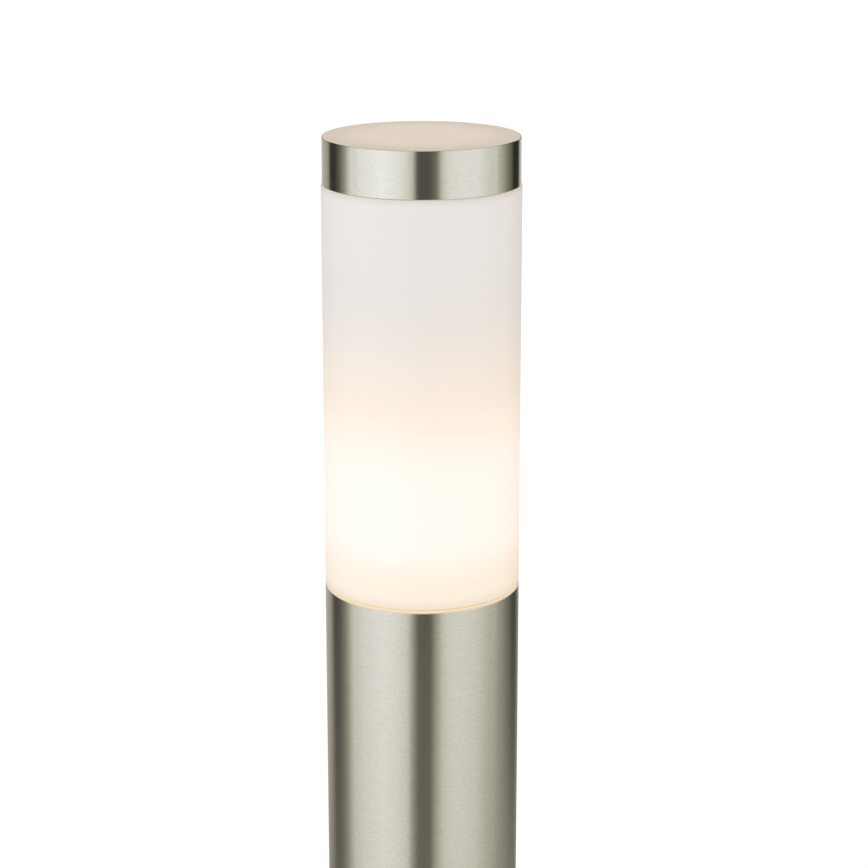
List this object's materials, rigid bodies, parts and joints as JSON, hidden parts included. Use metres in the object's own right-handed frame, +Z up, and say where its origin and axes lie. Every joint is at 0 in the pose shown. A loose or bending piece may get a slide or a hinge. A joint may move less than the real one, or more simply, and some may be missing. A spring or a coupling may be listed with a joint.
{
  "type": "bollard light",
  "caption": "Steel path bollard light: bolted base, tube post, screw-in lamp, and an opal head with a flat cap that lifts off to change the lamp.",
  "frame": {"origin": "centre of the base's underside, on the post's axis", "axes": "+Z up along the post's axis; -Y is the front"},
  "size_m": [0.125, 0.125, 0.8],
  "materials": {
    "stainless": "brushed stainless steel, grain around the tube",
    "stainless_plate": "brushed stainless plate",
    "zinc_plated_steel": "zinc-plated sheet steel",
    "stainless_fixings": "stainless fixings",
    "opal_diffuser": "opal acrylic, satin",
    "clear_silicone": "translucent silicone",
    "black_rubber": "matt black rubber",
    "foam": "closed-cell foam",
    "brass": "brass",
    "tinned_copper": "tinned copper",
    "porcelain": "white glazed porcelain",
    "grey_nylon": "moulded grey nylon",
    "natural_nylon": "natural nylon",
    "lamp_plastic": "white thermoplastic",
    "lamp_opal": "opal polycarbonate",
    "lamp_glass": "black moulded insulator",
    "lamp_nickel": "nickel-plated shell",
    "white_board": "white solder mask on aluminium",
    "phosphor": "phosphor",
    "brown_pvc": "brown cable insulation",
    "blue_pvc": "blue cable insulation",
    "green_yellow_pvc": "green and yellow cable insulation"
  },
  "bodies": {
    "post_assembly": {"base_gasket": "black_rubber", "base_flange": "stainless_plate", "cable_entry_grommet": "black_rubber", "base_spigot": "stainless_plate", "post_nuts": "stainless_fixings", "post_screws": "stainless_fixings", "post": "stainless", "lampholder_bridge": "zinc_plated_steel", "gear_tray": "grey_nylon", "tray_grommet": "black_rubber", "lampholder_bracket": "zinc_plated_steel", "bracket_screws": "zinc_plated_steel", "terminal_block": "natural_nylon", "terminal_inserts": "brass", "terminal_screws": "zinc_plated_steel", "terminal_block_screws": "zinc_plated_steel", "earth_washer": "zinc_plated_steel", "earth_lug": "tinned_copper", "earth_screw": "brass", "earth_nut": "brass", "live_wire": "brown_pvc", "neutral_wire": "blue_pvc", "earth_wire": "green_yellow_pvc", "lampholder_body": "porcelain", "lampholder_screws": "zinc_plated_steel", "lampholder_shell": "brass", "lampholder_contact": "brass", "lampholder_terminals": "brass", "lampholder_terminal_screws": "brass"},
    "head_seals": {"spigot_o_ring": "black_rubber", "rim_gasket": "clear_silicone"},
    "head": {"diffuser": "opal_diffuser", "top_cap": "stainless", "cap_stud": "stainless_fixings", "cap_gasket": "foam", "cap_washer": "stainless_fixings", "cap_nut": "stainless_fixings"},
    "lamp": {"lamp_contact": "tinned_copper", "lamp_insulator": "lamp_glass", "lamp_screw_shell": "lamp_nickel", "lamp_housing": "lamp_plastic", "lamp_led_board": "white_board", "lamp_leds": "phosphor", "lamp_globe": "lamp_opal"}
  },
  "joints": [
    {"name": "head_lift", "type": "slide", "parent": "post_assembly", "child": "head_seals", "axis": [0, 0, 1], "range_m": [0, 0.2]},
    {"name": "head_turn", "type": "hinge", "parent": "head_seals", "child": "head", "pos_m": [0, 0, 0.624], "axis": [0, 0, 1], "continuous": true},
    {"name": "lamp_out", "type": "slide", "parent": "post_assembly", "child": "lamp", "axis": [0, 0, 1], "range_m": [0, 0.035]}
  ]
}
